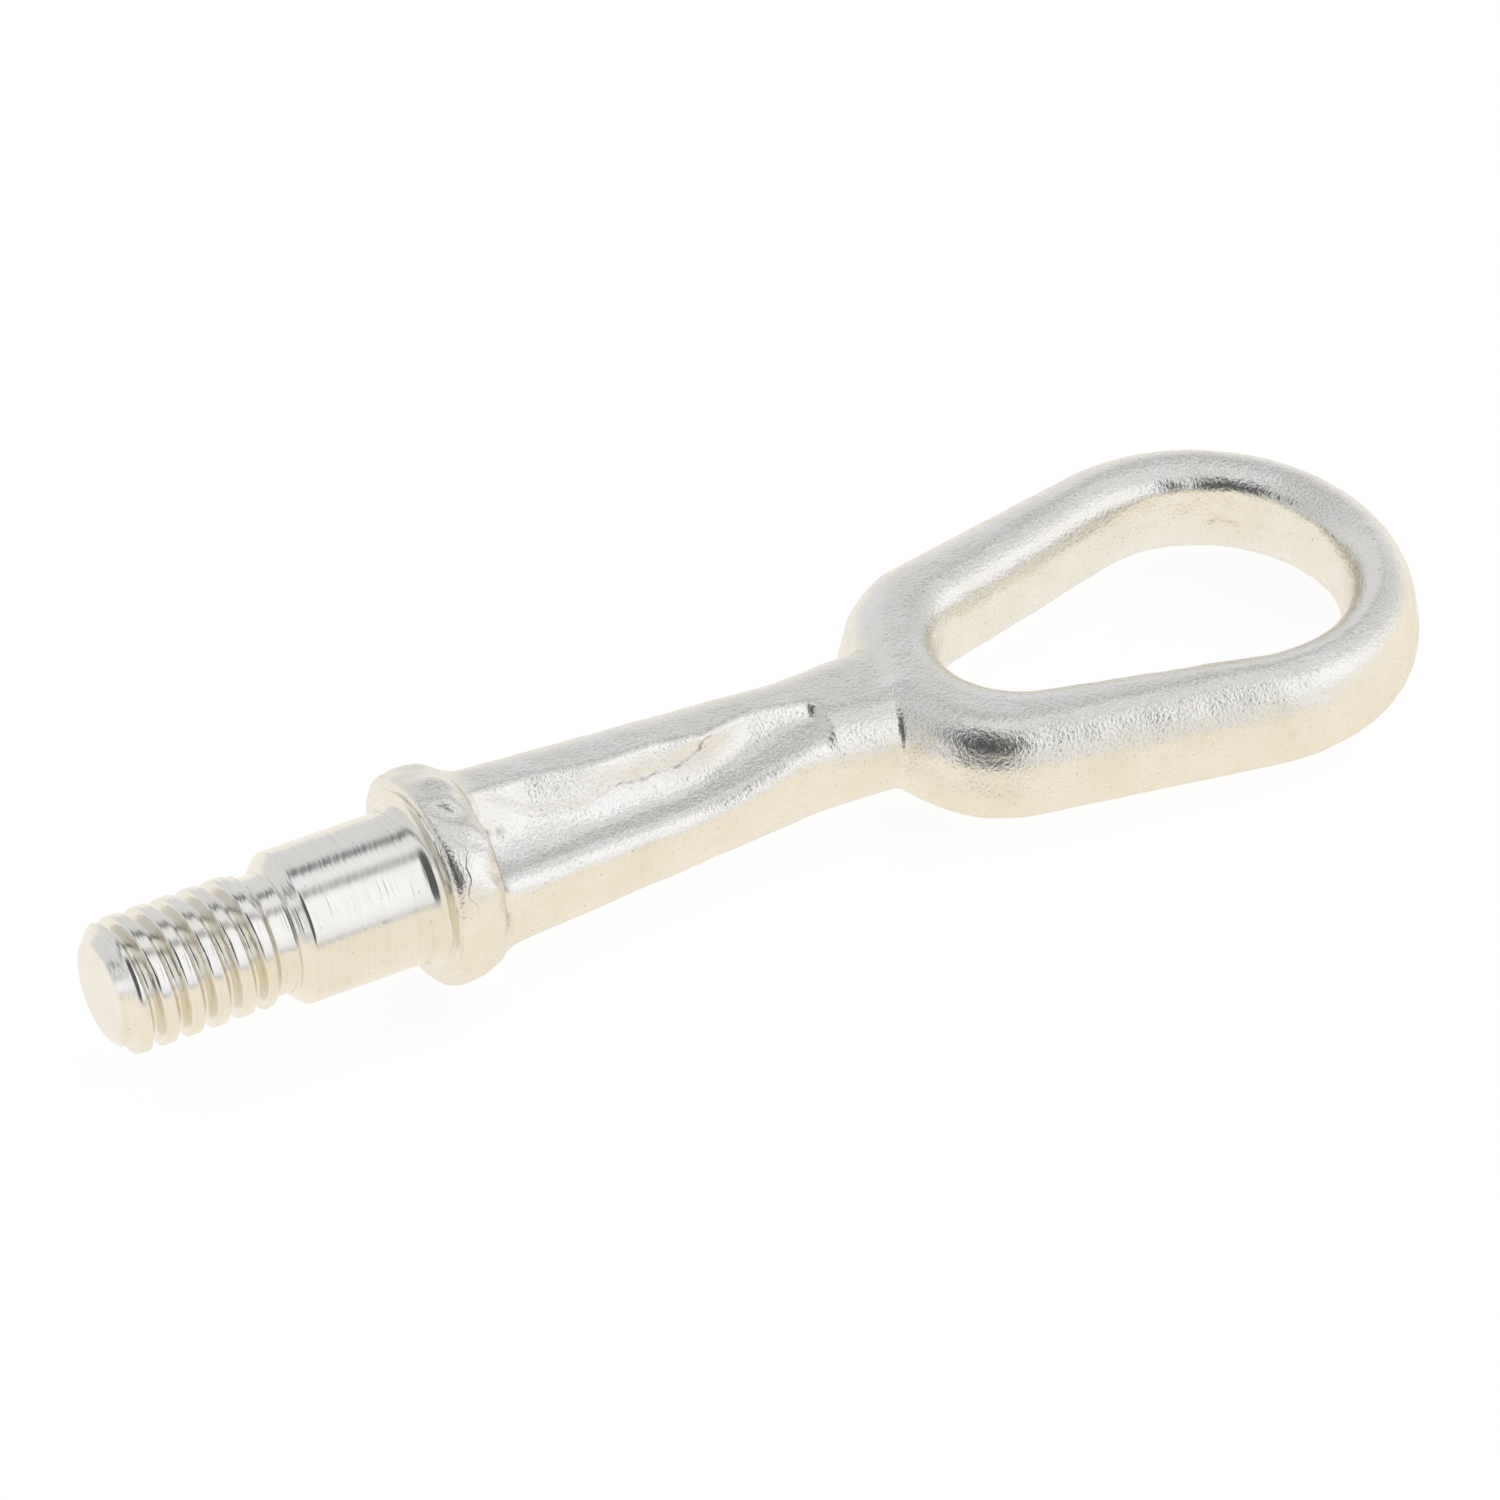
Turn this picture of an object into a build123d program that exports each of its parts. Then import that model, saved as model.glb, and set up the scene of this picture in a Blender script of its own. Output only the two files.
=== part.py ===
"""Screw-in tow eye: one steel forging with a turned stud and a rolled thread.

The origin is the centre of the seating face, where the flange stops against its socket.
+X runs along the thread's axis towards the eye, and +Z is square to the flat of the eye.
"""

import math
import os

from build123d import *

# Stud, turned; its lengths run along X, from the seating face towards the tip
stud_length = 39.6
tip_chamfer_length = 2.0
tip_chamfer_height = 2.2
thread_diameter = 16.0
thread_pitch = 3.2
thread_depth = 1.55
thread_crest_width = 1.35
thread_root_width = 0.9
thread_lead_in = 1.05
neck_depth = 0.85
neck_length = 2.5
pilot_diameter = 18.3
pilot_length = 17.8
pilot_chamfer = 1.5
seat_fillet = 1.7

# Flange, a collar between the turned stud and the forged shank
flange_diameter = 25.6
flange_thickness = 3.6
flange_edge_radius = 0.8
flange_back_radius = 3.0
flange_root_radius = 4.0
flange_root_depth = 0.4

# Shank, forged; it tapers from the flange to the throat and widens again towards the shoulders
shank_width_at_flange = 18.1
shank_width_at_throat = 14.4
shank_width_at_shoulder = 17.0
shank_height_at_flange = 18.1
shank_height_at_throat = 13.8
throat_position = 50.0
throat_radius = 30.0
throat_run = 15.0
shoulder_position = 60.4
shoulder_radius = 3.0

# Eye, a loop with a round far end and two blunt corners next to the shoulders
eye_reach = 134.0
eye_thickness = 12.0
eye_end_radius = 26.5
eye_corner_position = 67.9
eye_corner_width = 38.8
eye_corner_radius = 15.0
outer_upper_radius = 5.1
outer_lower_radius = 3.4
inner_upper_radius = 3.9
inner_lower_radius = 3.7

# Hole of the eye, the hull of a wide circle and a narrow circle; the crotch is the web between the
# shoulders and the hole
far_bar_width = 9.3
crotch_width = 12.0
hole_wide_radius = 15.9
hole_narrow_radius = 8.8

# Pocket in the shank's upper front edge: a steep wall, a floor and a rounded rail.
# Its section is given in shares of the shank's half width and half height.
pocket_start = 5.2
pocket_end = 52.6
pocket_top_across = 0.05
wall_foot_across = -0.33
wall_foot_up = 0.33
floor_end_across = -0.67
floor_end_up = 0.27
rail_foot_up = -0.17

# Cutting solids reach this far past the surface that they cut
cut_margin = 5.0

thread_radius = thread_diameter / 2
neck_radius = thread_radius - neck_depth
pilot_radius = pilot_diameter / 2
flange_radius = flange_diameter / 2
seat_width = flange_radius - pilot_radius
pilot_front = -pilot_length
thread_end = pilot_front - neck_length
shank_start = flange_thickness / 2
eye_end_position = eye_reach - eye_end_radius
hole_wide_position = eye_reach - far_bar_width - hole_wide_radius
hole_narrow_position = shoulder_position + crotch_width + hole_narrow_radius
eye_half_thickness = eye_thickness / 2
above = (eye_half_thickness / 2, flange_radius)
below = (-flange_radius, -eye_half_thickness / 2)
groove_width = thread_pitch - thread_crest_width
turn_count = int((stud_length + thread_lead_in + thread_end) / thread_pitch)

# Radii that a neighbouring wall may limit
narrowest_bar = min(far_bar_width, eye_end_radius - hole_wide_radius)
outer_upper = min(outer_upper_radius, 0.55 * narrowest_bar)
outer_lower = min(outer_lower_radius, 0.4 * narrowest_bar)
inner_upper = min(inner_upper_radius, 0.42 * narrowest_bar)
inner_lower = min(inner_lower_radius, 0.42 * narrowest_bar)
seat_radius = min(seat_fillet, 0.6 * seat_width)
rim_radius = min(flange_edge_radius, 0.3 * seat_width)
pilot_bevel = min(pilot_chamfer, pilot_radius - neck_radius)


def tapered(at_flange, at_throat, position):
    """Half of a shank size at a position on X."""
    share = (position - flange_thickness) / (throat_position - flange_thickness)
    return (at_flange + (at_throat - at_flange) * share) / 2


def half_width(position):
    return tapered(shank_width_at_flange, shank_width_at_throat, position)


def half_height(position):
    return tapered(shank_height_at_flange, shank_height_at_throat, position)


def pocket_section(position):
    """Section of the pocket's cut across the shank, with Y to the right and Z up."""
    width = half_width(position)
    height = half_height(position)
    wall_top = (pocket_top_across * width, height)
    wall_foot = (wall_foot_across * width, wall_foot_up * height)
    floor_end = (floor_end_across * width, floor_end_up * height)
    rail_foot = (-width, rail_foot_up * height)
    floor_slope = (floor_end[0] - wall_foot[0], floor_end[1] - wall_foot[1])
    across = Plane(origin=(position, 0, 0), x_dir=(0, 1, 0), z_dir=(1, 0, 0))
    with BuildSketch(across) as section:
        with BuildLine():
            TangentArc(floor_end, rail_foot, tangent=floor_slope)
            Polyline(
                rail_foot,
                (-width - cut_margin, rail_foot[1]),
                (-width - cut_margin, height + cut_margin),
                (wall_top[0], height + cut_margin),
                wall_top,
                wall_foot,
                floor_end,
            )
        make_face()
    return section.sketch


# Plan of the forging: a tapered shank, two hollow shoulders and the eye's outer outline
with BuildSketch() as plan:
    with Locations((eye_end_position, 0)):
        Circle(eye_end_radius)
    with BuildLine():
        Line((eye_corner_position, -eye_corner_width / 2), (eye_corner_position, eye_corner_width / 2))
    make_hull()
    with BuildLine():
        Polyline(
            (shank_start, 0),
            (shank_start, half_width(shank_start)),
            (throat_position, half_width(throat_position)),
            (shoulder_position, shank_width_at_shoulder / 2),
            (eye_corner_position, eye_corner_width / 2),
            (eye_corner_position, 0),
        )
        mirror(about=Plane.XZ)
    make_face()
    fillet(plan.vertices().sort_by(Axis.X)[6:8], radius=eye_corner_radius)
    fillet(plan.vertices().sort_by(Axis.X)[4:6], radius=shoulder_radius)
    fillet(plan.vertices().sort_by(Axis.X)[2:4], radius=throat_radius)

with BuildSketch() as hole:
    with Locations((hole_wide_position, 0)):
        Circle(hole_wide_radius)
    with Locations((hole_narrow_position, 0)):
        Circle(hole_narrow_radius)
    make_hull()

# Side view of the forging: the shank's back slopes down to the flat of the eye
with BuildSketch(Plane.XZ) as side:
    with BuildLine():
        back = Spline(
            (shank_start, half_height(shank_start)),
            (throat_position, half_height(throat_position)),
            (throat_position + throat_run, eye_half_thickness),
            tangents=((1, half_height(1) - half_height(0)), (1, 0)),
        )
        Polyline(
            back @ 1,
            (eye_reach + cut_margin, eye_half_thickness),
            (eye_reach + cut_margin, 0),
            (shank_start, 0),
            back @ 0,
        )
    make_face()
    mirror(about=Plane.XZ)

# Half section of the stud and the flange, turned about X
flange_drop = flange_radius - half_width(flange_thickness) + flange_root_depth
slope = math.acos(1 - flange_drop / (flange_back_radius + flange_root_radius))
back_end = (
    flange_thickness + flange_back_radius * math.sin(slope),
    flange_radius - flange_back_radius * (1 - math.cos(slope)),
)
root_end = (
    back_end[0] + flange_root_radius * math.sin(slope),
    back_end[1] - flange_root_radius * (1 - math.cos(slope)),
)
with BuildSketch() as turning:
    with BuildLine():
        Polyline(
            (-stud_length, 0),
            (-stud_length, thread_radius - tip_chamfer_height),
            (-stud_length + tip_chamfer_length, thread_radius),
            (thread_end - neck_depth, thread_radius),
            (thread_end, neck_radius),
            (pilot_front, neck_radius),
            (pilot_front, pilot_radius - pilot_bevel),
            (pilot_front + pilot_bevel, pilot_radius),
            (-seat_radius, pilot_radius),
        )
        TangentArc((-seat_radius, pilot_radius), (0, pilot_radius + seat_radius), tangent=(1, 0))
        Line((0, pilot_radius + seat_radius), (0, flange_radius - rim_radius))
        TangentArc((0, flange_radius - rim_radius), (rim_radius, flange_radius), tangent=(0, 1))
        Line((rim_radius, flange_radius), (flange_thickness, flange_radius))
        TangentArc((flange_thickness, flange_radius), back_end, tangent=(1, 0))
        TangentArc(back_end, root_end, tangent=(math.cos(slope), -math.sin(slope)))
        Polyline(root_end, (root_end[0], 0), (-stud_length, 0))
    make_face()

# One turn of the thread's right-hand groove; the first turn starts in front of the tip
with BuildPart() as groove:
    with BuildLine() as turn:
        helix = Helix(
            thread_pitch,
            thread_pitch,
            thread_radius,
            center=(-stud_length - thread_lead_in, 0, 0),
            direction=(1, 0, 0),
        )
    with BuildSketch(Plane(origin=helix @ 0, x_dir=(1, 0, 0), z_dir=helix % 0)):
        with BuildLine():
            Polyline(
                (-thread_root_width / 2, -thread_depth),
                (thread_root_width / 2, -thread_depth),
                (groove_width / 2, 0),
                (groove_width / 2, thread_depth),
                (-groove_width / 2, thread_depth),
                (-groove_width / 2, 0),
                close=True,
            )
        make_face()
    sweep(path=turn.line, is_frenet=True)

with BuildPart() as stud:
    revolve(turning.sketch, axis=Axis.X)
    for number in range(turn_count):
        with Locations((number * thread_pitch, 0, 0)):
            add(groove.part, mode=Mode.SUBTRACT)

with BuildPart() as pocket:
    loft([pocket_section(pocket_start), pocket_section(pocket_end)], ruled=True)

with BuildPart() as tow_eye:
    extrude(plan.sketch, amount=flange_radius, both=True)
    extrude(side.sketch, amount=eye_end_radius + cut_margin, both=True, mode=Mode.INTERSECT)
    outline_edges = tow_eye.edges().filter_by(Axis.Y, reverse=True)
    fillet(outline_edges.filter_by_position(Axis.Z, *above), radius=outer_upper)
    fillet(outline_edges.filter_by_position(Axis.Z, *below), radius=outer_lower)
    extrude(hole.sketch, amount=flange_radius, both=True, mode=Mode.SUBTRACT)
    hole_edges = tow_eye.edges(Select.LAST)
    fillet(hole_edges.filter_by_position(Axis.Z, *above), radius=inner_upper)
    fillet(hole_edges.filter_by_position(Axis.Z, *below), radius=inner_lower)
    add(stud.part)
    add(pocket.part, mode=Mode.SUBTRACT)

os.makedirs("parts", exist_ok=True)
tow_eye.part.label = "tow_eye"
export_step(tow_eye.part, "parts/tow_eye.step")
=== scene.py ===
"""Tow eye, dressed: a zinc-plated forging with a turned stud and a rolled thread.

The skin stands for the CAD node and keeps its sizes. The forging is a distance function meshed on a
grid, and the stud is a stack of rings. Sizes are in millimetres until the mesh is made.
"""

import math

import bpy
import numpy as np
from mathutils import Matrix, Vector


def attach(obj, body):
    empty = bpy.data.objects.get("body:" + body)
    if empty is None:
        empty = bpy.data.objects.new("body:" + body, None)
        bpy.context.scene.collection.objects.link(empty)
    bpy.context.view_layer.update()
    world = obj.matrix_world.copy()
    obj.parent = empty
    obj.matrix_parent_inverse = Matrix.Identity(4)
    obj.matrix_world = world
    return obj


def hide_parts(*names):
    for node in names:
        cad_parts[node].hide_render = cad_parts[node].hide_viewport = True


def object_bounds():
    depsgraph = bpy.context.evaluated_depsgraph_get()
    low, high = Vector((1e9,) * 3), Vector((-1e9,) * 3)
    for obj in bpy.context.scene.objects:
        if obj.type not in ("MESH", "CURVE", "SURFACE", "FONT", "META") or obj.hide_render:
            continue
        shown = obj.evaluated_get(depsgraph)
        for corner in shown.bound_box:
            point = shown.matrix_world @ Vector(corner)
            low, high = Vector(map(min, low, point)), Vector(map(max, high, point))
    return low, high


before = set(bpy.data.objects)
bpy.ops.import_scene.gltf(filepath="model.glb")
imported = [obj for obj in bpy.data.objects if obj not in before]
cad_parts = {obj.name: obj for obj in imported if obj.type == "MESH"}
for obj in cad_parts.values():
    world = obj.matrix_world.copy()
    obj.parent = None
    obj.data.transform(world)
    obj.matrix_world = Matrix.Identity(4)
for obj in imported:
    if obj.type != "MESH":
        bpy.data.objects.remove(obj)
cad_low, cad_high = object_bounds()
MM = 0.001

# Stud; its lengths run along X, from the seating face towards the tip
stud_length = 39.6
tip_chamfer_length = 2.0
tip_chamfer_height = 2.2
neck_radius = 7.15
neck_length = 2.5
pilot_radius = 9.15
pilot_length = 17.8
pilot_chamfer = 1.5
seat_fillet = 1.7
thread_end = -pilot_length - neck_length

# Thread, rolled, with soft edges; the shares are of half its pitch
thread_radius = 8.0
thread_pitch = 3.2
thread_depth = 1.55
thread_crest_share = 0.34
thread_flank_share = 0.6
thread_lead_in = 1.05
thread_run_out = 1.8
thread_edge_blend = 0.12
thread_margin = 0.5
axis_margin = 1.0

# Turned face of the flange; it reaches further out in front, and its edge is ragged, with teeth given
# as count and phase
face_inset = 1.6
face_depth = 1.2
face_reach = 0.9
face_heading = 0.3
face_ragged = 0.18
face_teeth = ((5, 0.0), (11, 1.0))
face_setback = 0.1
face_fade = 0.1
face_margin = 0.3

# Flange; the waves of its rim are given as depth, count and phase
flange_radius = 12.8
flange_front = 0.2
flange_back = 6.3
flange_edge_radius = 0.8
flange_back_radius = 3.0
flange_root_blend = 4.5
rim_waves = ((0.16, 3, 1.1), (0.08, 7, 0.4))

# Shank; its widths and heights are halves
shank_start = 1.8
shank_end = 67.0
width_at_flange = 9.05
width_at_throat = 7.2
width_at_shoulder = 8.5
height_at_flange = 9.05
height_at_throat = 6.9
taper_start = 3.6
throat_position = 50.0
throat_radius = 30.0
throat_run = 15.0
throat_lead = 4.0
shoulder_position = 60.4
shoulder_blend = 0.4
shank_upper_radius = 4.4
shank_front_radius = 6.4
shank_lower_radius = 4.3
shank_front_fade = 6.0

# Eye; near is the side towards the camera, and its walls lean in towards the top
eye_reach = 134.0
eye_half_thickness = 6.0
eye_crown_height = 6.9
eye_end_radius = 26.5
eye_corner_radius = 15.5
near_nose = (57.0, 0.0)
near_corner = (64.55, 18.7)
far_nose = (58.8, 0.0)
far_corner = (66.6, 19.1)
outer_upper_radius = 5.3
outer_lower_radius = 3.3
near_inner_radius = 4.6
far_inner_radius = 2.8
far_inner_run = 6.5
inner_lower_radius = 4.4
outer_lean = 0.9
near_inner_lean = 0.7
far_inner_lean = 0.3
lean_start = -1.5
lean_run = 5.0
far_start = 100.0
far_fade = 14.0
wall_blend = 1.0
wall_fade = 2.0

# Hole of the eye
hole_wide_position = 108.8
hole_wide_radius = 15.9
hole_narrow_position = 81.2
hole_narrow_radius = 8.8

# Pocket in the shank's upper front edge; its section is given in shares of the shank's half sizes, and
# the edge of its wall and the lap on the wall run through places given as X and Y
pocket_start = 5.2
pocket_end = 56.5
pocket_edge = ((6, 1.5), (15, 1.7), (24, 0.3), (32, 0.5), (38, -0.7), (44, 0.7), (53, -0.2))
wall_foot_across = -0.33
wall_foot_up = 0.33
floor_end_across = -0.67
floor_end_up = 0.27
rail_foot_up = -0.17
pocket_rise = 3.0
pocket_rise_start = 32.0
pocket_rise_run = 22.0
start_wall_height = 14.0
start_wall_run = 1.6
end_wall_height = 8.0
end_wall_run = 4.5
pocket_floor_blend = 2.6
pocket_edge_blend = 0.5
lap_edge = ((9, 1.2), (15, -1.0), (21.5, -2.1), (25, -1.2), (35, -1.2), (39, -0.5), (43, 0.8))
lap_height = 0.3
lap_width = 0.6
lap_fade = 3.0

# Dark line along the lap: painted shade under the lap's lip, faint at first, and then cracks that open in
# places
shade_line_start = 11.0
crack_opening = 23.0
crack_and_shade_end = 42.0
crack_and_shade_fade = 3.0
crack_and_shade_offset = 0.1
crack_and_shade_floor = 1.0
# The faint share is painted shade, a shadow line under the lap's lip
painted_lap_shadow = 0.12
crack_open = 0.6
crack_bias = 0.3
crack_waves = ((0.5, 1.7), (0.5, 4.1))

# Fold on the flange's rim, as a wavy line round X, and the pits next to the flange
fold_position = 2.2
fold_waves = ((0.5, 9), (0.3, 23))
fold_heading = 0.65
fold_spread = 0.25
fold_share = 0.7
fold_inner_radius = 10.5
fold_limit = 7.0
pits = ((7.4, -1.0, 6.3), (9.0, -1.7, 5.0), (10.6, -1.8, 4.8))
pit_area = 0.2

# Waviness of forged faces, as height, length and seed; it is larger on the flange
forged_waves = ((0.04, 9.0, 3), (0.025, 3.2, 8))
skin_inset = 0.05
rough_gain = 5.0
rough_start = 0.3
rough_rise = 1.5
rough_end = 9.0
rough_fall = 4.0

# Fineness of the meshes
grid_step = 0.5
grid_margin = 2.0
arc_steps = 40
ring_columns = 160
thread_row_step = 0.16
plain_row_step = 0.8

# Colours of the zinc plate, and the scales of its textures, in cells per metre
zinc_warm = (0.83, 0.79, 0.69, 1)
zinc_pale = (0.87, 0.84, 0.77, 1)
zinc_dull = (0.66, 0.63, 0.55, 1)
pit_brown = (0.40, 0.34, 0.24, 1)
# Dark of the cracks, the fold and the pits, and of the painted shadow line under the lap
crack_and_shade_dark = (0.16, 0.15, 0.12, 1)
cloud_scale = 130.0
grain_scale = 2300.0
peel_scale = 620.0
pit_scale = 560.0
ring_scale = 2100.0
ring_stretch = (1.0, 0.04, 0.04)

# Spans of the textures, from low to high, and what they turn to in the zinc plate, from start to end
cloud_span = (0.35, 0.65, 0.0, 1.0)
grain_speckle = (0.32, 0.5, 0.3, 0.0)
ring_speckle = (0.3, 0.5, 0.25, 0.0)
pit_spot = (0.0, 0.12, 0.5, 0.0)
pit_wall = (0.0, 0.18, 0.0, 0.7)
crack_and_shade_jag = (0.3, 0.7, -0.16, 0.16)
crack_and_shade_width = (0.03, 0.16, 1.0, 0.0)
forged_roughness = (0.3, 0.7, 0.09, 0.22)
turned_roughness = (0.3, 0.7, 0.14, 0.26)

# Relief of the zinc plate, in units of its bump's distance in metres
grain_relief = 2.6
peel_relief = 0.4
ring_relief = 2.0
crack_relief = 1.5
crack_and_shade_darkness = 0.8
bump_strength = 0.5
bump_distance = 0.00009

# Floor of white paper; its reflection is warmer in front of the part than behind it, in metres along Y
floor_size = 6.0
rim_contact = 2.5
white = (1, 1, 1, 1)
paper_colour = (0.85, 0.84, 0.82, 1)
shadow_colour = (0.25, 0.25, 0.25, 1)
paper_glow = 0.86
warm_front = (1.0, 0.935, 0.825, 1)
warm_behind = (1.0, 0.975, 0.945, 1)
warm_strength = 1.02
warm_change = (-0.014, 0.012)

# Light of the studio, as levels at degrees from the front horizon over the top to the back
studio = (
    (-180, 0.75),
    (-4, 0.9),
    (0, 0.6),
    (4, 0.6),
    (8, 1.0),
    (30, 1.15),
    (70, 1.15),
    (76, 0.5),
    (83, 0.5),
    (89, 1.0),
    (109, 1.0),
    (114, 0.2),
    (121, 0.2),
    (128, 0.8),
    (179, 0.82),
)
studio_tint = (0.97, 1.0, 1.08)
dark_place = (-0.53, -0.58, 0.62)
dark_edge = (0.80, 0.825)
dark_level = 0.1

# Camera, in metres
camera_place = Vector((-0.27623, -0.54554, 0.52146))
camera_target = Vector((0.04601, 0.00221, 0.0))
camera_roll = math.radians(1.08)
camera_lens = 167.9
camera_sensor = 36.0


def smooth_step(value):
    share = np.clip(value, 0, 1)
    return share * share * (3 - 2 * share)


def smooth_min(first, second, width):
    share = np.clip(0.5 + 0.5 * (second - first) / width, 0, 1)
    return second + (first - second) * share - width * share * (1 - share)


def smooth_max(first, second, width):
    return -smooth_min(-first, -second, width)


def mixed(first, second, share):
    return first + (second - first) * share


def waves(x, y, z, length, seed, count=14):
    """Smooth noise, mostly between -1 and 1, with bumps of about the given length."""
    rng = np.random.default_rng(seed)
    ways = rng.normal(size=(count, 3))
    ways *= (2 * math.pi / length * rng.uniform(0.6, 1.4, count) / np.linalg.norm(ways, axis=1))[:, None]
    phases = rng.uniform(0, 2 * math.pi, count)
    total = 0
    for (kx, ky, kz), phase in zip(ways, phases):
        total = total + np.sin(kx * x + ky * y + kz * z + phase)
    return total / math.sqrt(2 * count)


def round_corners(points, radii, steps=14):
    """An open line with its inner corners rounded."""
    points = [np.array(point, float) for point in points]
    line = [points[0]]
    for before, corner, after, radius in zip(points, points[1:], points[2:], radii):
        back = (before - corner) / np.linalg.norm(before - corner)
        ahead = (after - corner) / np.linalg.norm(after - corner)
        half = math.acos(back @ ahead) / 2
        middle = corner + (back + ahead) / np.linalg.norm(back + ahead) * radius / math.sin(half)
        start = corner + back * radius / math.tan(half)
        end = corner + ahead * radius / math.tan(half)
        for share in np.linspace(0, 1, steps + 1):
            spoke = start + (end - start) * share - middle
            line.append(middle + spoke * radius / np.linalg.norm(spoke))
    line.append(points[-1])
    return np.array(line)


def polygon_distance(x, y, points):
    """Signed distance to a closed outline, negative inside it."""
    nearest = np.inf
    inside = np.zeros(np.broadcast_shapes(x.shape, y.shape), bool)
    for (x0, y0), (x1, y1) in zip(points, np.roll(points, -1, axis=0)):
        dx, dy = x1 - x0, y1 - y0
        along = np.clip(((x - x0) * dx + (y - y0) * dy) / (dx * dx + dy * dy), 0, 1)
        nearest = np.minimum(nearest, np.hypot(x - x0 - along * dx, y - y0 - along * dy))
        if dy:
            inside ^= ((y0 > y) != (y1 > y)) & (x < x0 + (y - y0) * dx / dy)
    return np.where(inside, -nearest, nearest)


def teardrop_distance(x, y):
    """Signed distance to the eye's hole, the hull of its wide and its narrow circle."""
    spacing = hole_wide_position - hole_narrow_position
    lean = (hole_wide_radius - hole_narrow_radius) / spacing
    level = math.sqrt(1 - lean * lean)
    along, across = hole_wide_position - x, np.abs(y)
    side = level * along - lean * across
    flank = level * across + lean * along - hole_wide_radius
    wide = np.hypot(along, across) - hole_wide_radius
    narrow = np.hypot(along - spacing, across) - hole_narrow_radius
    return np.where(side < 0, wide, np.where(side > level * spacing, narrow, flank))


def rounded_edge(first, second, radius):
    """Distance to two walls that meet in a rounded edge, given from the middle of the rounding."""
    inside = np.minimum(np.maximum(first, second), 0)
    return inside + np.hypot(np.maximum(first, 0), np.maximum(second, 0)) - radius


def rounded_slab(wall, up, run, radius):
    """Distance to a slab with rounded edges; a run above the radius makes the edge an ellipse."""
    return rounded_edge((wall + run) * radius / run, up + radius, radius)


def shank_outline():
    """Outline of the shank, seen from above; its end is inside the eye."""
    half = round_corners(
        (
            (shank_start, width_at_flange),
            (throat_position, width_at_throat),
            (shoulder_position, width_at_shoulder),
            (shank_end, width_at_shoulder),
        ),
        (throat_radius, throat_radius),
    )
    return np.concatenate((half, half[::-1] * (1, -1)))


def eye_side(nose, corner):
    """One side of the eye's outer outline, from its nose inside the shank to its far end."""
    centre = np.array((eye_reach - eye_end_radius, 0))
    offset = np.array(corner) - centre
    touch = math.atan2(offset[1], offset[0]) - math.acos(eye_end_radius / np.linalg.norm(offset))
    angles = np.linspace(touch, 0, arc_steps)
    arc = centre + eye_end_radius * np.stack((np.cos(angles), np.sin(angles)), 1)
    side = round_corners((nose, corner, arc[0]), (eye_corner_radius,))
    return np.concatenate((side[:-1], arc))


def eye_outline():
    """Outer outline of the eye, seen from above."""
    near_side, far_side = eye_side(near_nose, near_corner), eye_side(far_nose, far_corner)
    return np.concatenate((far_side, near_side[-2::-1] * (1, -1)))


shank_plan = shank_outline()
eye_plan = eye_outline()


def tapered(at_flange, at_throat, x):
    return at_flange + (at_throat - at_flange) * (x - taper_start) / (throat_position - taper_start)


def half_height(x):
    """Half of the forging's thickness: the shank's taper, then a run down to the flat of the eye."""
    shank = tapered(height_at_flange, height_at_throat, np.minimum(x, throat_position + throat_lead))
    down = smooth_step((x - throat_position + throat_lead) / (throat_run + throat_lead))
    return mixed(shank, eye_half_thickness, down)


def along_line(x, line):
    """Y at each X of a line given as X and Y."""
    return np.interp(x, *zip(*line))


def pocket_floor(x, y):
    """Height of the pocket's surface: a steep wall with a lap on it, a floor and a rounded rail."""
    width = tapered(width_at_flange, width_at_throat, x)
    height = half_height(x)
    foot = wall_foot_across * width
    steepness = (1 - wall_foot_up) * height / (along_line(x, pocket_edge) - foot)
    wall = wall_foot_up * height + steepness * (y - foot)
    lap_start, lap_end = lap_edge[0][0], lap_edge[-1][0]
    spread = smooth_step((x - lap_start) / lap_fade) * smooth_step((lap_end - x) / lap_fade)
    wall = wall + lap_height * spread * smooth_step((y - along_line(x, lap_edge)) / lap_width)
    fall = np.clip((floor_end_across * width - y) / ((1 + floor_end_across) * width), 0, 1)
    rail = (floor_end_up - rail_foot_up) * height * (1 - np.sqrt(1 - fall**2))
    lift = (wall_foot_up - floor_end_up) * height
    share = (y - floor_end_across * width) / ((wall_foot_across - floor_end_across) * width)
    floor = floor_end_up * height + lift * np.clip(share, 0, 1) - rail
    floor = floor + pocket_rise * smooth_step((x - pocket_rise_start) / pocket_rise_run)
    start_wall = start_wall_height * smooth_step((pocket_start + start_wall_run - x) / start_wall_run)
    end_wall = end_wall_height * smooth_step((x - pocket_end + end_wall_run) / end_wall_run)
    return smooth_max(wall, floor, pocket_floor_blend) + (start_wall + end_wall)


def pocket_distance(x, y, z):
    """Height above the pocket's surface, made less where the surface is steep."""
    reach = 0.2
    slope_x = (pocket_floor(x + reach, y) - pocket_floor(x - reach, y)) / (2 * reach)
    slope_y = (pocket_floor(x, y + reach) - pocket_floor(x, y - reach)) / (2 * reach)
    return (z - pocket_floor(x, y)) / np.sqrt(1 + slope_x**2 + slope_y**2)


def flange_distance(x, y, z):
    """The flange, a disc whose rim is a little out of round."""
    angle = np.arctan2(z, y)
    rim = flange_radius
    for depth, count, phase in rim_waves:
        rim = rim - depth * (1 + np.sin(count * angle + phase))
    middle = (flange_front + flange_back) / 2
    edge = np.where(x < middle, flange_edge_radius, flange_back_radius)
    ahead = np.abs(x - middle) - (flange_back - flange_front) / 2 + edge
    return rounded_edge(ahead, np.hypot(y, z) - rim + edge, edge)


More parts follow.
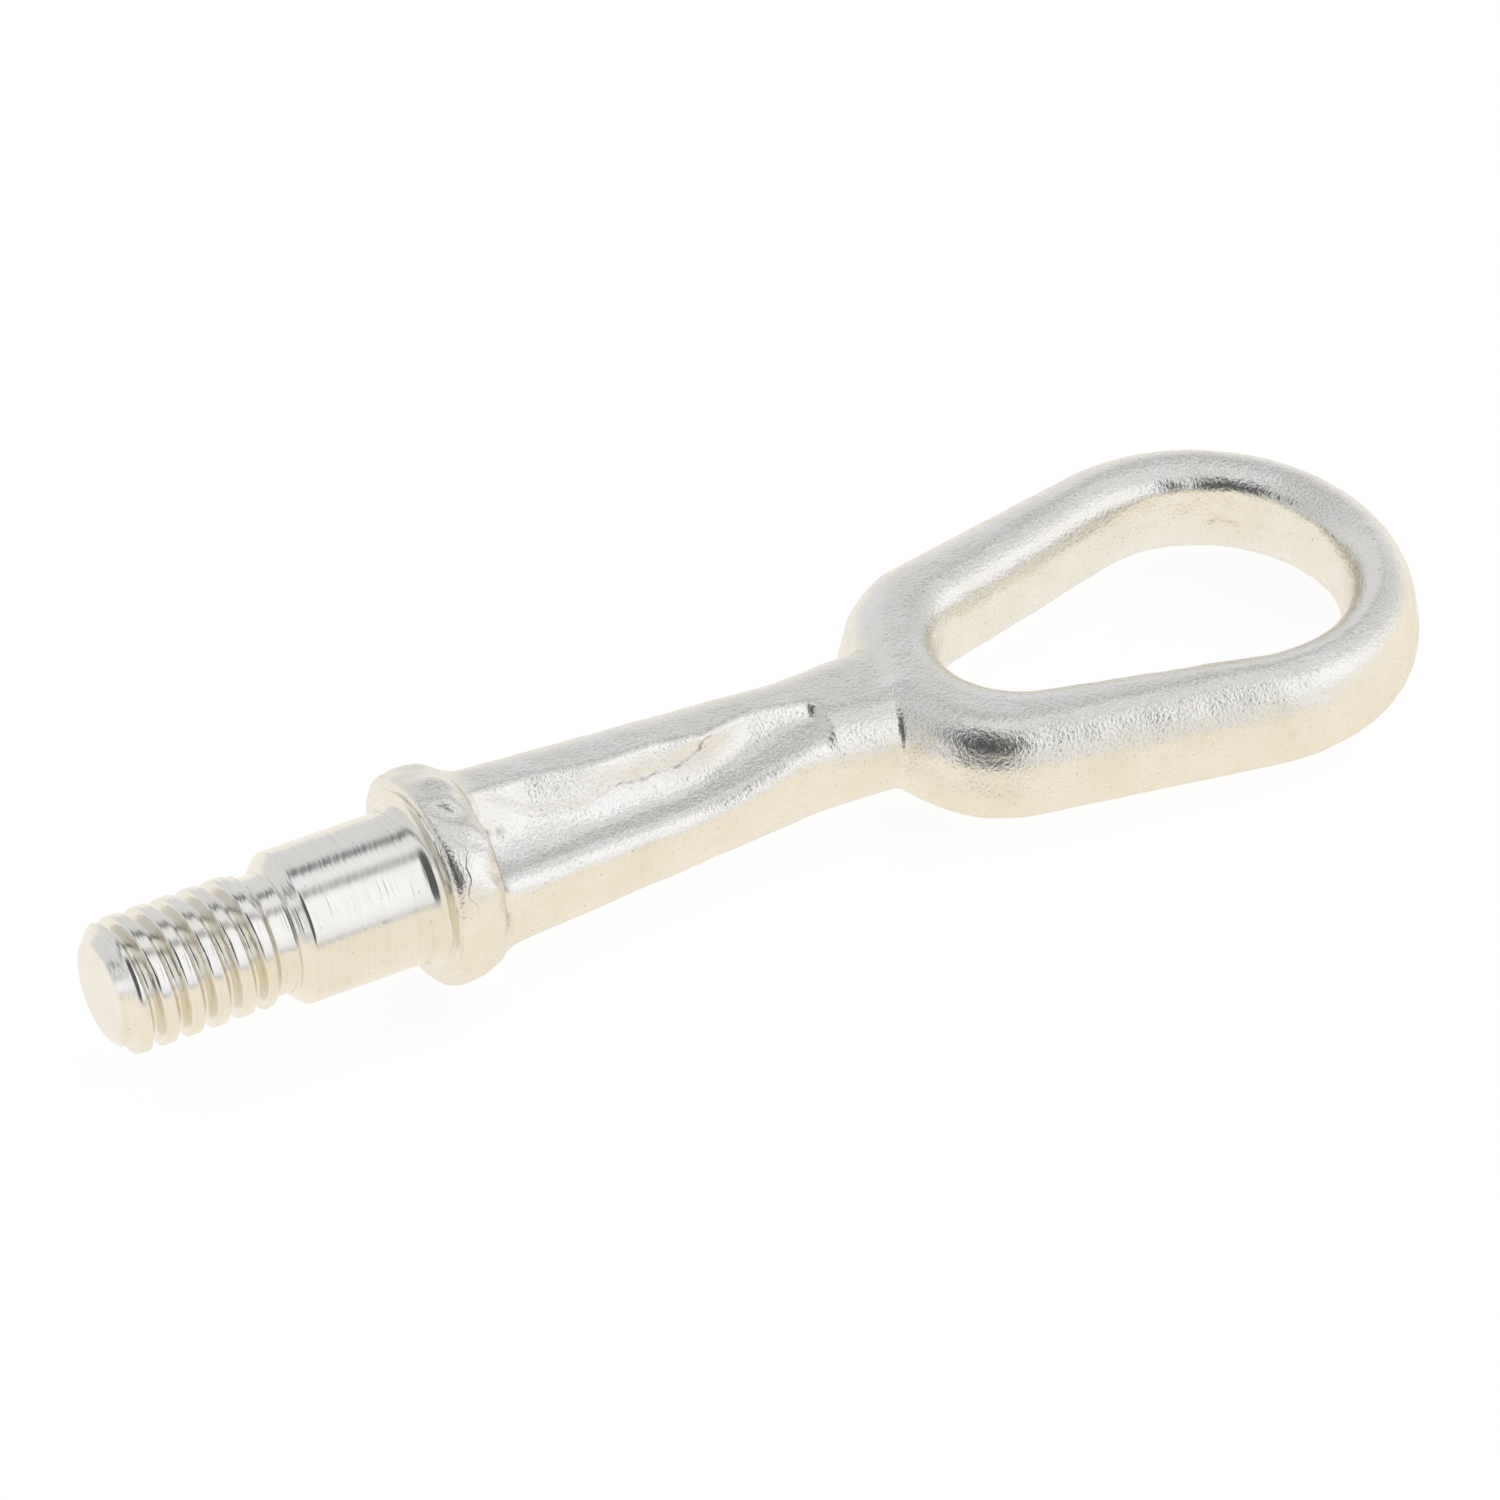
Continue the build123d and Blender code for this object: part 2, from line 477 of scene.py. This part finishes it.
def shank_distance(x, y, z):
    """The shank with its pocket; its upper front edge is rounder than the others."""
    in_front = smooth_step(0.5 - y / shank_front_fade)
    upper = mixed(shank_upper_radius, shank_front_radius, in_front)
    radius = np.where(z > 0, upper, shank_lower_radius)
    shank = rounded_slab(polygon_distance(x, y, shank_plan), np.abs(z) - half_height(x), radius, radius)
    return smooth_max(shank, pocket_distance(x, y, z), pocket_edge_blend)


def eye_distance(x, y, z):
    """The eye; the upper edge of its hole is an ellipse at the far end and a circle elsewhere."""
    outer = polygon_distance(x, y, eye_plan)
    inner = -teardrop_distance(x, y)
    at_hole = smooth_step((inner - outer) / wall_fade + 0.5)
    at_far = smooth_step(0.5 + y / far_fade) * smooth_step((x - far_start) / far_fade)
    inner_lean = mixed(near_inner_lean, far_inner_lean, at_far)
    inner_run = mixed(near_inner_radius, far_inner_run, at_far)
    inner_radius = mixed(near_inner_radius, far_inner_radius, at_far)
    lean = mixed(outer_lean, inner_lean, at_hole) * np.clip((z - lean_start) / lean_run, 0, 1)
    outer_radius = np.where(z > 0, outer_upper_radius, outer_lower_radius)
    run = mixed(outer_radius, np.where(z > 0, inner_run, inner_lower_radius), at_hole)
    radius = mixed(outer_radius, np.where(z > 0, inner_radius, inner_lower_radius), at_hole)
    height = np.where(z > 0, eye_crown_height, eye_half_thickness)
    return rounded_slab(smooth_max(outer, inner, wall_blend) + lean, np.abs(z) - height, run, radius)


def forging_distance(x, y, z):
    """Signed distance to the flange, the shank and the eye, negative inside."""
    body = smooth_min(shank_distance(x, y, z), eye_distance(x, y, z), shoulder_blend)
    body = smooth_min(body, flange_distance(x, y, z), flange_root_blend)
    rough = smooth_step((rough_end - x) / rough_fall) * smooth_step((x - rough_start) / rough_rise)
    waviness = sum(height * waves(x, y, z, length, seed) for height, length, seed in forged_waves)
    return body + skin_inset + (1 + rough_gain * rough) * waviness


def crack_and_shade_lines(points):
    """Offset of each point from its nearest dark line, in millimetres, and how dark that line is there:
    along the lap a faint painted shadow under the lip, opened into cracks in places, and on the flange a
    fold.
    """
    x, y, z = points.T
    breaks = np.clip(crack_bias + sum(depth * np.sin(rate * x) for depth, rate in crack_waves), 0, 1)
    opened = crack_open * breaks * smooth_step((x - crack_opening) / crack_and_shade_fade)
    share = smooth_step((x - shade_line_start) / crack_and_shade_fade) * smooth_step((crack_and_shade_end - x) / crack_and_shade_fade)
    # Along the lap the faint share is a painted shadow under the lip; the opened share is the cracks
    share = (z > crack_and_shade_floor) * share * (painted_lap_shadow + opened)
    angle = np.arctan2(z, -y)
    fold = x - fold_position - sum(depth * np.sin(count * angle) for depth, count in fold_waves)
    on_rim = np.hypot(y, z) > fold_inner_radius
    rim = fold_share * on_rim * np.exp(-(((angle - fold_heading) / fold_spread) ** 2))
    at_flange = x < fold_limit
    offset = np.where(at_flange, fold, y - along_line(x, lap_edge) + crack_and_shade_offset)
    return offset, np.where(at_flange, rim, share)


def pit_depths(points):
    """How deep in one of the pits next to the flange each point is, as a share."""
    gaps = [((points - pit) ** 2).sum(1) for pit in pits]
    return np.exp(-np.min(gaps, axis=0) / pit_area)


def surface_net(field):
    """Quads on the zero surface of a grid of distances, one vertex in each cell that it crosses."""
    inside = field < 0
    cells = tuple(size - 1 for size in field.shape)
    total = np.zeros((*cells, 3))
    count = np.zeros(cells)
    quads = []
    for axis in range(3):
        along, second, third = np.roll(np.eye(3, dtype=int), -axis, axis=0)
        start = np.argwhere(np.diff(inside, axis=axis))
        low = field[tuple(start.T)]
        high = field[tuple((start + along).T)]
        crossing = start + along * (low / (low - high))[:, None]
        ring = (start - second - third, start - third, start, start - second)
        for cell in ring:
            np.add.at(total, tuple(cell.T), crossing)
            np.add.at(count, tuple(cell.T), 1)
        ring = np.stack(ring, 1)
        quads.append(np.where((low < 0)[:, None, None], ring, ring[:, ::-1]))
    used = count > 0
    number = np.full(cells, -1)
    number[used] = np.arange(used.sum())
    quads = np.concatenate(quads)
    return total[used] / count[used][:, None], number[tuple(quads.transpose(2, 0, 1))]


def settle(points, rounds=2):
    """Moves the points onto the forging's surface."""
    reach = 0.1
    least_steepness = 0.2
    longest_move = 0.2
    for _ in range(rounds):
        rises = [
            forging_distance(*(points + way).T) - forging_distance(*(points - way).T)
            for way in reach * np.eye(3)
        ]
        slope = np.stack(rises, 1) / (2 * reach)
        steepness = np.maximum((slope**2).sum(1), least_steepness)
        move = np.clip(forging_distance(*points.T) / steepness, -longest_move, longest_move)
        points = points - slope * move[:, None]
    return points


def forging_mesh():
    low = np.array((flange_front, -eye_end_radius, -flange_radius)) - grid_margin
    high = np.array((eye_reach, eye_end_radius, flange_radius)) + grid_margin
    axes = [np.arange(start, end, grid_step) for start, end in zip(low, high)]
    field = forging_distance(axes[0][:, None, None], axes[1][None, :, None], axes[2][None, None, :])
    points, quads = surface_net(field)
    return settle(low + points * grid_step), quads


def thread_dip(x, angle):
    """Depth of the rolled thread's groove: broad soft crests and a round root."""
    turn = (x + stud_length + thread_lead_in) / thread_pitch - angle / (2 * math.pi)
    across = 2 * np.abs(turn - np.round(turn))
    share = (1 - thread_crest_share - across) / thread_flank_share
    fade = smooth_step((thread_end - x) / thread_run_out)
    return thread_depth * smooth_step(share) * fade


def stud_rows():
    """The stud's half section as X and radius: tip, thread, neck, pilot and the flange's turned face."""
    face_radius = flange_radius - face_inset
    corners = (
        (-stud_length, 0, 0),
        (-stud_length, thread_radius - tip_chamfer_height, 0.5),
        (-stud_length + tip_chamfer_length, thread_radius, 1.2),
        (thread_end - thread_radius + neck_radius, thread_radius, 0.5),
        (thread_end, neck_radius, 0.5),
        (-pilot_length, neck_radius, 0.3),
        (-pilot_length, pilot_radius - pilot_chamfer, 0.15),
        (-pilot_length + pilot_chamfer, pilot_radius, 0.6),
        (0, pilot_radius, seat_fillet),
        (0, face_radius, 0.15),
        (face_depth, face_radius, 0.1),
        (face_depth, 0, 0),
    )
    places = [(x, radius) for x, radius, rounding in corners]
    line = round_corners(places, [rounding for x, radius, rounding in corners[1:-1]], 6)
    rows = [line[0]]
    for point in line[1:]:
        threaded = point[0] < thread_end + thread_margin and point[1] > neck_radius - thread_margin
        step = thread_row_step if threaded else plain_row_step
        start = rows[-1]
        count = max(1, math.ceil(np.linalg.norm(point - start) / step))
        rows += [start + (point - start) * number / count for number in range(1, count + 1)]
    return np.array(rows)


def stud_mesh():
    """The stud as rings, with its thread cut in and the edge of its turned face made ragged."""
    rows = stud_rows()
    columns = np.arange(ring_columns)
    angle = np.linspace(0, 2 * math.pi, ring_columns, endpoint=False)
    x = np.repeat(rows[:, :1], ring_columns, 1)
    radius = np.repeat(rows[:, 1:], ring_columns, 1)
    cut = smooth_min(radius, thread_radius - thread_dip(x, angle), thread_edge_blend)
    cut = cut + thread_edge_blend / 4 * (radius > axis_margin)
    radius = np.where(x < thread_end + thread_margin, cut, radius)
    on_face = smooth_step((radius - pilot_radius - seat_fillet) / face_fade) * (x > -face_margin)
    in_front = 0.5 - 0.5 * np.cos(angle - face_heading)
    ragged = face_ragged
    for count, phase in face_teeth:
        ragged = ragged * np.sin(count * angle + phase)
    radius = radius + on_face * (face_reach * in_front + ragged - face_setback)
    points = np.stack((x, radius * np.cos(angle), radius * np.sin(angle)), 2)
    first = np.arange(len(rows) - 1)[:, None] * ring_columns + columns
    after = first - columns + (columns + 1) % ring_columns
    quads = np.stack((first, first + ring_columns, after + ring_columns, after), 2)
    return points.reshape(-1, 3), quads.reshape(-1, 4)


class Tree:
    """The node tree of a material or a world, with short ways to add to it."""

    def __init__(self, owner):
        owner.use_nodes = True
        self.nodes, self.links = owner.node_tree.nodes, owner.node_tree.links

    def node(self, kind, inputs, **settings):
        """A new node with its settings, and with its inputs set or linked."""
        made = self.nodes.new(kind)
        for name, value in settings.items():
            setattr(made, name, value)
        for key, value in inputs.items():
            if isinstance(value, bpy.types.NodeSocket):
                self.links.new(value, made.inputs[key])
            else:
                made.inputs[key].default_value = value
        return made

    def attribute(self, name):
        return self.node("ShaderNodeAttribute", {}, attribute_name=name).outputs["Fac"]

    def number(self, operation, first, second):
        return self.node("ShaderNodeMath", {0: first, 1: second}, operation=operation).outputs["Value"]

    def noise(self, vector, scale, detail):
        inputs = {"Vector": vector, "Scale": scale, "Detail": detail, "Roughness": 0.6}
        return self.node("ShaderNodeTexNoise", inputs).outputs["Fac"]

    def span(self, value, low, high, start=0.0, end=1.0):
        """A value that runs from start to end while another runs from low to high."""
        inputs = {"Value": value, "From Min": low, "From Max": high, "To Min": start, "To Max": end}
        return self.node("ShaderNodeMapRange", inputs).outputs["Result"]

    def mix(self, share, first, second):
        return self.node("ShaderNodeMix", {"Factor": share, "A": first, "B": second}).outputs["Result"]

    def blend(self, share, first, second):
        """A colour between two colours."""
        inputs = {"Fac": share, "Color1": first, "Color2": second}
        return self.node("ShaderNodeMixRGB", inputs).outputs["Color"]

    def diffuse(self, colour):
        return self.node("ShaderNodeBsdfDiffuse", {"Color": colour}).outputs["BSDF"]

    def emission(self, colour, strength):
        return self.node("ShaderNodeEmission", {"Color": colour, "Strength": strength}).outputs["Emission"]

    def background(self, colour, strength):
        inputs = {"Color": colour, "Strength": strength}
        return self.node("ShaderNodeBackground", inputs).outputs["Background"]

    def choose(self, share, first, second):
        """A shader between two shaders."""
        return self.node("ShaderNodeMixShader", {0: share, 1: first, 2: second}).outputs["Shader"]


def zinc_material():
    """Zinc plate: warm silver, grainy and pitted on forged faces and finely ringed on turned ones."""
    material = bpy.data.materials.new("zinc_plate")
    tree = Tree(material)
    shader = tree.nodes["Principled BSDF"]
    shader.inputs["Metallic"].default_value = 1.0
    place = tree.node("ShaderNodeTexCoord", {}).outputs["Object"]
    along = tree.node("ShaderNodeMapping", {"Vector": place, "Scale": ring_stretch}).outputs["Vector"]
    turned = tree.attribute("turned")
    cloud = tree.noise(place, cloud_scale, 3.0)
    grain = tree.noise(place, grain_scale, 3.0)
    peel = tree.noise(place, peel_scale, 2.0)
    rings = tree.noise(along, ring_scale, 2.0)
    cells = tree.node("ShaderNodeTexVoronoi", {"Vector": place, "Scale": pit_scale}).outputs["Distance"]

    # Cracks and the painted shadow line under the lap are jagged lines, and the pits next to the flange
    # are as dark
    jagged = tree.number("ADD", tree.attribute("line_offset"), tree.span(peel, *crack_and_shade_jag))
    line = tree.span(tree.number("ABSOLUTE", jagged, 0.0), *crack_and_shade_width)
    line = tree.number("MULTIPLY", line, tree.attribute("line_share"))
    crack_and_shade = tree.number("MAXIMUM", line, tree.attribute("pit_share"))

    # Colour
    tone = tree.blend(tree.span(cloud, *cloud_span), zinc_warm, zinc_pale)
    speckle = tree.mix(turned, tree.span(grain, *grain_speckle), tree.span(rings, *ring_speckle))
    tone = tree.blend(speckle, tone, zinc_dull)
    tone = tree.blend(tree.span(cells, *pit_spot), tone, pit_brown)
    # Painted shade: the faint shadow line under the lap darkens the colour, as the cracks, the fold and
    # the pits do
    tone = tree.blend(tree.number("MULTIPLY", crack_and_shade, crack_and_shade_darkness), tone, crack_and_shade_dark)
    tree.links.new(tone, shader.inputs["Base Color"])

    # Roughness
    rough = tree.mix(turned, tree.span(grain, *forged_roughness), tree.span(rings, *turned_roughness))
    tree.links.new(rough, shader.inputs["Roughness"])

    # Relief
    grains = tree.number("MULTIPLY", grain, grain_relief)
    forged = tree.number("ADD", grains, tree.number("MULTIPLY", peel, peel_relief))
    forged = tree.number("ADD", forged, tree.span(cells, *pit_wall))
    height = tree.mix(turned, forged, tree.number("MULTIPLY", rings, ring_relief))
    height = tree.number("SUBTRACT", height, tree.number("MULTIPLY", crack_and_shade, crack_relief))
    inputs = {"Height": height, "Strength": bump_strength, "Distance": bump_distance}
    tree.links.new(tree.node("ShaderNodeBump", inputs).outputs["Normal"], shader.inputs["Normal"])
    return material


def paper_material():
    """Paper: white to the camera, with the part's shadow, and pale and warm in reflections."""
    material = bpy.data.materials.new("paper")
    tree = Tree(material)
    path = tree.node("ShaderNodeLightPath", {})
    mirrored = tree.number("MAXIMUM", path.outputs["Is Glossy Ray"], path.outputs["Is Transmission Ray"])
    glow = tree.emission(white, paper_glow)
    shown = tree.node("ShaderNodeAddShader", {0: tree.diffuse(shadow_colour), 1: glow}).outputs["Shader"]
    place = tree.node("ShaderNodeTexCoord", {}).outputs["Object"]
    depth = tree.node("ShaderNodeSeparateXYZ", {"Vector": place}).outputs["Y"]
    warmth = tree.blend(tree.span(depth, *warm_change), warm_front, warm_behind)
    unseen = tree.choose(mirrored, tree.diffuse(paper_colour), tree.emission(warmth, warm_strength))
    surface = tree.choose(path.outputs["Is Camera Ray"], unseen, shown)
    tree.links.new(surface, tree.nodes["Material Output"].inputs["Surface"])
    return material


def studio_world():
    """Soft boxes and darker gaps in bands along X, and a dark place where the camera stands."""
    world = bpy.data.worlds.new("studio")
    tree = Tree(world)
    direction = tree.node("ShaderNodeTexCoord", {}).outputs["Generated"]
    parts = tree.node("ShaderNodeSeparateXYZ", {"Vector": direction})
    front = tree.number("MULTIPLY", parts.outputs["Y"], -1.0)
    climb = tree.number("ARCTAN2", parts.outputs["Z"], front)
    ramp = tree.node("ShaderNodeValToRGB", {"Fac": tree.span(climb, -math.pi, math.pi)})
    stops = ramp.color_ramp.elements
    while len(stops) < len(studio):
        stops.new(0.5)
    for stop, (degrees, level) in zip(stops, studio):
        stop.position = (degrees + 180) / 360
        stop.color = (*(level * tint for tint in studio_tint), 1)
    facing = tree.node("ShaderNodeVectorMath", {0: direction, 1: dark_place}, operation="DOT_PRODUCT")
    dim = tree.span(facing.outputs["Value"], *dark_edge, 1.0, dark_level)
    seen = tree.node("ShaderNodeLightPath", {}).outputs["Is Camera Ray"]
    room = tree.background(ramp.outputs["Color"], dim)
    surface = tree.choose(seen, room, tree.background(white, 1.0))
    tree.links.new(surface, tree.nodes["World Output"].inputs["Surface"])
    return world


# The skin, with what the material needs to know of each point
forging_points, forging_quads = forging_mesh()
stud_points, stud_quads = stud_mesh()
points = np.concatenate((forging_points, stud_points)) * MM
points = np.clip(points, np.array(cad_low), np.array(cad_high))
quads = np.concatenate((forging_quads, stud_quads + len(forging_points)))
mesh = bpy.data.meshes.new("tow_eye_skin")
mesh.from_pydata(points.tolist(), [], quads.tolist())
mesh.shade_smooth()
line_offset, line_share = crack_and_shade_lines(forging_points)
marks = {
    "line_offset": (line_offset, 0.0),
    "line_share": (line_share, 0.0),
    "pit_share": (pit_depths(forging_points), 0.0),
    "turned": (np.zeros(len(forging_points)), 1.0),
}
for name, (on_forging, on_stud) in marks.items():
    values = np.concatenate((on_forging, np.full(len(stud_points), on_stud))).astype(np.float32)
    mesh.attributes.new(name, "FLOAT", "POINT").data.foreach_set("value", values)
mesh.materials.append(zinc_material())
skin = bpy.data.objects.new("tow_eye_skin", mesh)
bpy.context.scene.collection.objects.link(skin)
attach(skin, "root")
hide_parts("tow_eye")

# The floor carries the flange's rim and the far edge of the eye
rim_low = Vector((rim_contact, 0, -flange_radius)) * MM
eye_low = Vector((eye_reach - outer_lower_radius, 0, -eye_half_thickness)) * MM
floor_rise = math.atan2(eye_low.z - rim_low.z, eye_low.x - rim_low.x)
bpy.ops.mesh.primitive_plane_add(size=floor_size)
floor = bpy.context.object
floor.name = "floor"
floor.rotation_euler = (0, -floor_rise, 0)
floor.location = rim_low
floor.data.materials.append(paper_material())

# The camera and the light
camera = bpy.data.objects.new("camera", bpy.data.cameras.new("camera"))
bpy.context.scene.collection.objects.link(camera)
camera.data.sensor_width = camera_sensor
camera.data.lens = camera_lens
ahead = (camera_target - camera_place).normalized()
level = ahead.cross(Vector((0, 0, 1))).normalized()
upward = level.cross(ahead)
right = level * math.cos(camera_roll) + upward * math.sin(camera_roll)
turn = Matrix((right, right.cross(ahead), -ahead)).transposed()
camera.matrix_world = Matrix.Translation(camera_place) @ turn.to_4x4()
bpy.context.scene.camera = camera
bpy.context.scene.world = studio_world()
bpy.context.scene.view_settings.view_transform = "Standard"
